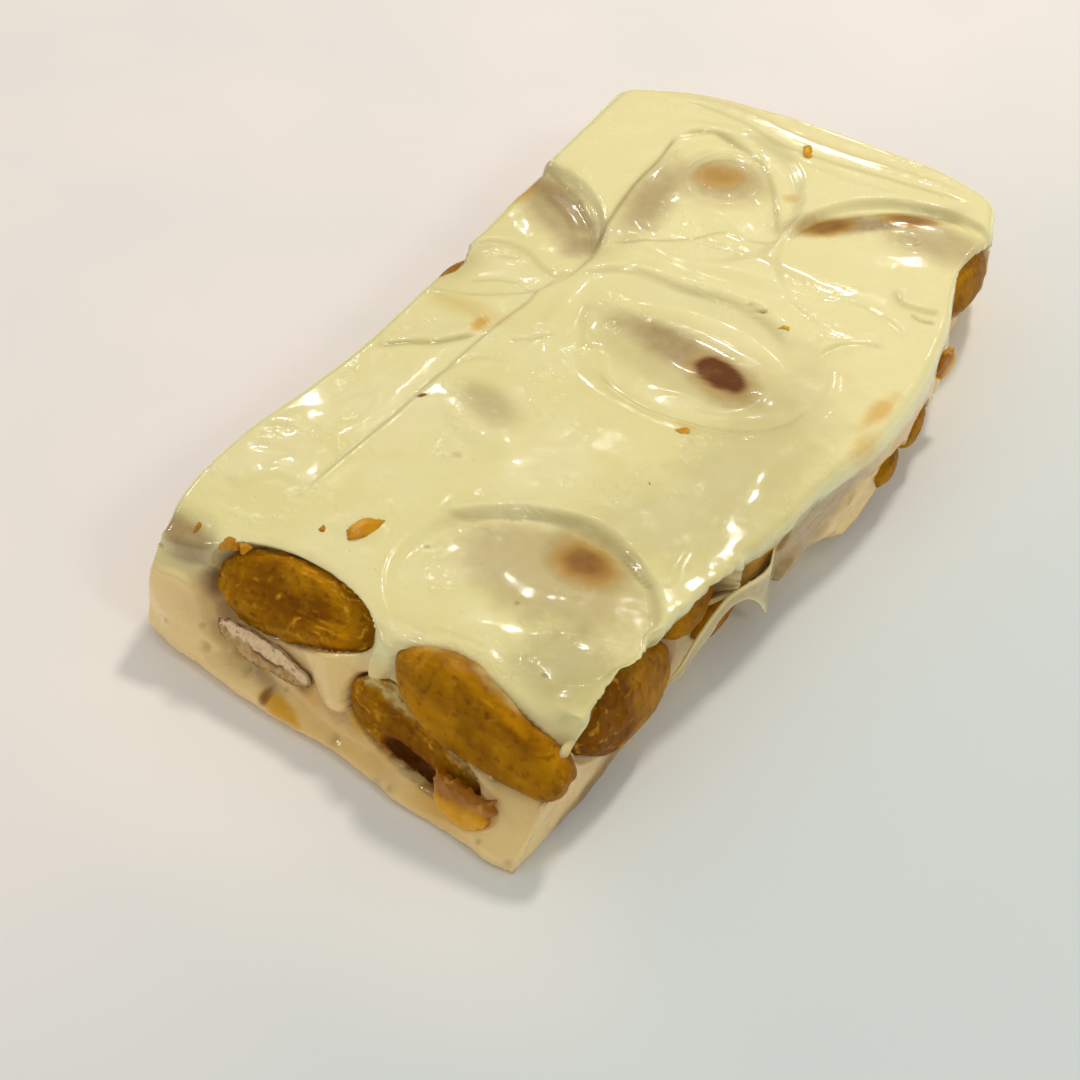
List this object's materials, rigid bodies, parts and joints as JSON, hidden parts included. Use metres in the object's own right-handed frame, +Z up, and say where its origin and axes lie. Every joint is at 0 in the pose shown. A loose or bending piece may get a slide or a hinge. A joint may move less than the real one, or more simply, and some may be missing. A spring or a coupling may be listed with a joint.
{
  "type": "nougat bar",
  "caption": "Bar of soft cream-coloured almond nougat with a sticky folded top, a slanting cut end and roasted almonds showing in its sides.",
  "frame": {"origin": "middle of the bar's box, on the plane of the table it lies on", "axes": "+Y along the bar from the slanting cut end to the far end, +X to the side with the overhanging lip, +Z up out of the folded top"},
  "size_m": [0.054, 0.1012, 0.0141],
  "materials": {
    "nougat": "soft, sticky and glossy cream-coloured nougat",
    "almond": "roasted almond skin, satin golden brown",
    "cut_almond": "crumbly cut almond kernel",
    "chip": "glossy amber chip of roasted almond"
  },
  "bodies": {
    "root": {"nougat": "nougat", "almond_end_flat": "almond", "almond_end_cut": "cut_almond", "almond_end_corner": "almond", "almond_end_low": "almond", "almond_right_near": "almond", "almond_right_second": "almond", "almond_right_low": "almond", "almond_right_far": "almond", "almond_bit_far": "almond", "almond_bit_middle": "almond", "almond_left_top": "almond", "almond_left_near": "almond", "almond_left_far": "almond", "almond_far_left": "almond", "almond_far_right": "almond", "chip_end": "chip", "chip_right": "chip"}
  },
  "joints": []
}
